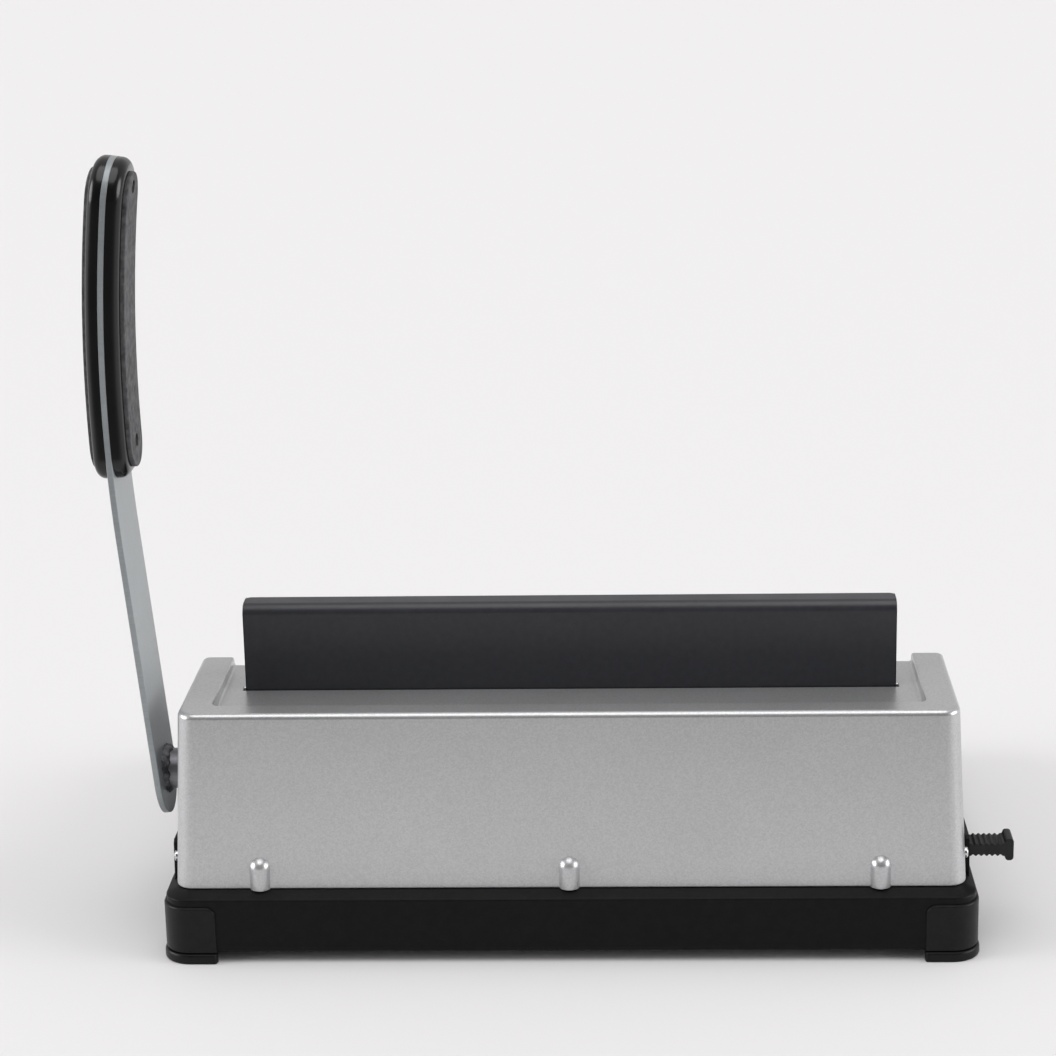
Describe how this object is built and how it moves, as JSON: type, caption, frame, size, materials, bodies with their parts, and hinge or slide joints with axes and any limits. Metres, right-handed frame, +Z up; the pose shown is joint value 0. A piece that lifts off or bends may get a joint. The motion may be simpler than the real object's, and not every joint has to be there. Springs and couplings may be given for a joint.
{
  "type": "comb binding machine",
  "caption": "Manual comb binding machine: one side lever works a row punch and a comb opener; silver cover, black base, chip drawer and margin tab.",
  "frame": {"origin": "on the floor, under the middle of the overall width and depth", "axes": "+Z up, -Y towards the front where the paper goes in, +X towards the lever"},
  "size_m": [0.435, 0.264, 0.3796],
  "materials": {
    "cover_silver": "satin metallic paint",
    "base_black": "fine texture",
    "bumper_rubber": "matt",
    "backrest_grey": "satin powder coat",
    "bar_grey": "satin paint",
    "shaft_steel": "dark oiled",
    "grip_black": "gloss",
    "pad_grey": "textured",
    "steel": "zinc plated",
    "fasteners": "bright zinc",
    "bronze": "sintered",
    "table_black": "fine texture",
    "slide_plastic": "satin"
  },
  "bodies": {
    "housing": {"base_shell": "base_black", "bottom_plate": "base_black", "drawer_rails": "base_black", "foot_rear_right": "bumper_rubber", "foot_rear_left": "bumper_rubber", "foot_front_right": "bumper_rubber", "foot_front_left": "bumper_rubber", "rear_cover": "cover_silver", "comb_backrest": "backrest_grey", "backrest_spacer": "steel", "backrest_rivets": "fasteners", "comb_fingers": "steel", "opener_bed_plate": "steel", "bridge": "steel", "side_frame_right": "steel", "side_frame_left": "steel", "bush_right": "bronze", "bush_left": "bronze", "carriage_rails": "slide_plastic", "die_plate": "steel", "punch_guide_plate": "steel", "throat_spacers": "steel", "guide_posts": "steel", "paper_guide_plate": "steel", "paper_table": "table_black", "margin_guides": "slide_plastic", "side_screws": "fasteners", "frame_screws": "fasteners", "base_screws": "fasteners"},
    "lever": {"lever_bar": "bar_grey", "lever_shaft": "shaft_steel", "weld_bead": "shaft_steel", "grip_scale_inner": "grip_black", "grip_scale_outer": "grip_black", "grip_pad_inner": "pad_grey", "grip_pad_outer": "pad_grey", "grip_screws": "fasteners", "pinion_right": "steel", "pinion_left": "steel", "cam_right": "steel", "cam_left": "steel", "retaining_rings": "fasteners"},
    "punch": {"punch_beam": "steel", "punch_pins": "steel", "return_springs": "steel"},
    "opener": {"hook_carriage": "steel", "hook_comb": "steel", "hook_rivets": "fasteners", "rack_right": "steel", "rack_left": "steel"},
    "margin_slide": {"margin_slide_bar": "steel", "margin_tab": "slide_plastic", "tab_pin": "steel"},
    "stop": {"back_stop": "slide_plastic", "stop_pins": "steel"},
    "drawer": {"chip_drawer": "slide_plastic"},
    "guide": {"side_guide": "table_black"}
  },
  "joints": [
    {"name": "lever_swing", "type": "hinge", "parent": "housing", "child": "lever", "pos_m": [0.18465, 0.078, 0.0787], "axis": [1, 0, 0], "range_deg": [0, 85], "stiffness_Nm_per_rad": 0.6, "springref_deg": -34.38},
    {"name": "punch_stroke", "type": "slide", "parent": "housing", "child": "punch", "axis": [0, 0, -1], "range_m": [0, 0.00892], "deforming": ["return_springs"]},
    {"name": "hook_slide", "type": "slide", "parent": "housing", "child": "opener", "axis": [0, -1, 0], "range_m": [0, 0.0193]},
    {"name": "margin_pull", "type": "slide", "parent": "housing", "child": "margin_slide", "axis": [-1, 0, 0], "range_m": [0, 0.012]},
    {"name": "stop_shift", "type": "slide", "parent": "housing", "child": "stop", "axis": [0, -1, 0], "range_m": [0, 0.003]},
    {"name": "drawer_slide", "type": "slide", "parent": "housing", "child": "drawer", "axis": [0, -1, 0], "range_m": [0, 0.15]},
    {"name": "guide_slide", "type": "slide", "parent": "housing", "child": "guide", "axis": [-1, 0, 0], "range_m": [-0.008, 0.025]}
  ],
  "couplings": [
    {"joint": "punch_stroke", "follows": "lever_swing", "m_per_rad": 0.006},
    {"joint": "hook_slide", "follows": "lever_swing", "m_per_rad": 0.013},
    {"joint": "stop_shift", "follows": "margin_pull", "ratio": 0.25}
  ]
}
